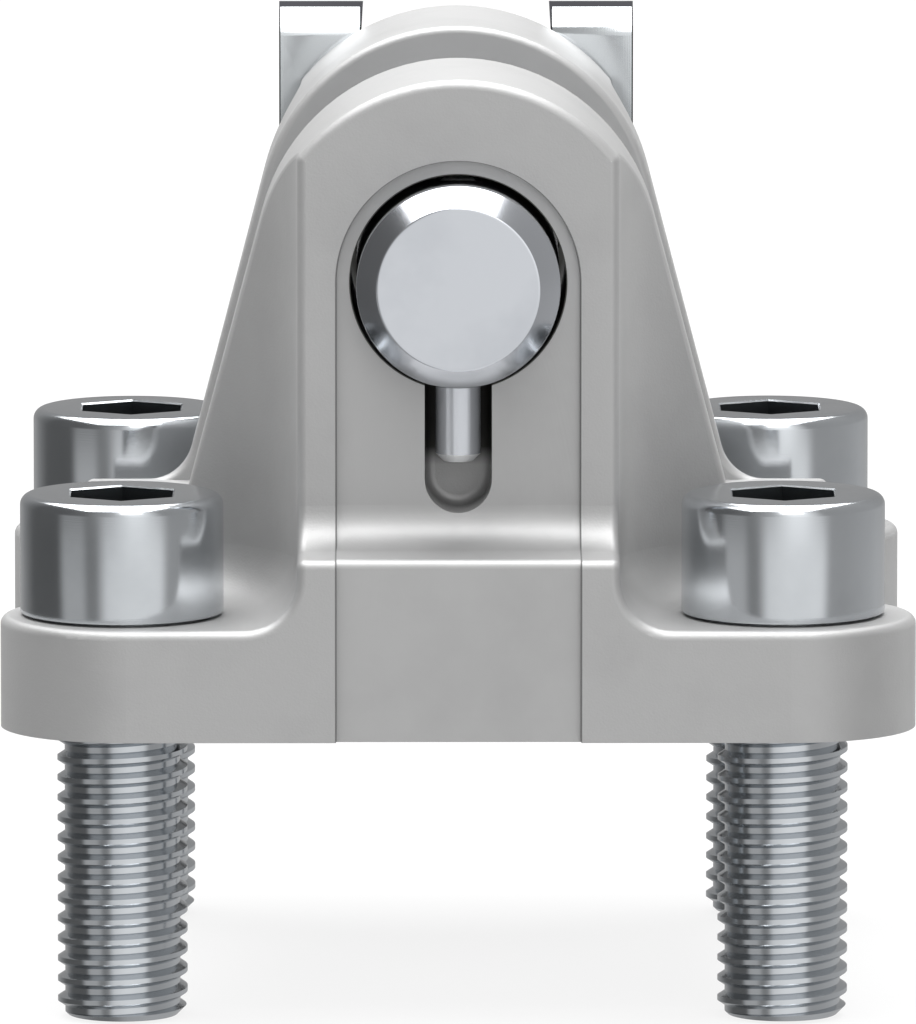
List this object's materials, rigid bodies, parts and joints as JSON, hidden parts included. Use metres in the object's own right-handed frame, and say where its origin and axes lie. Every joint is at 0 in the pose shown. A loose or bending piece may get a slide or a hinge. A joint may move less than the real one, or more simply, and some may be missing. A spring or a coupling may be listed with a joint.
{
  "type": "cylinder rear clevis mount",
  "caption": "Cast fork bracket that bolts to a pneumatic cylinder's rear cap and carries a locked clevis pin held by a spring clip.",
  "frame": {"origin": "centre of the mounting face, on the axis of the centring recess", "axes": "+Z from the mounting face to the clevis pin, Y along the clevis pin with the locked end at -Y, X across the fork"},
  "size_m": [0.045, 0.045, 0.0465],
  "materials": {
    "cast_aluminium": "fine blasted die casting, matte light grey",
    "pin_steel": "ground bright steel with turned end faces",
    "spring_steel": "bright rolled sheet",
    "screw_steel": "zinc plated, satin"
  },
  "bodies": {
    "root": {"clevis_bracket": "cast_aluminium", "clevis_pin": "pin_steel", "anti_rotation_pin": "pin_steel", "retaining_clip": "spring_steel", "screw_front_left": "screw_steel", "screw_front_right": "screw_steel", "screw_rear_left": "screw_steel", "screw_rear_right": "screw_steel"}
  },
  "joints": []
}
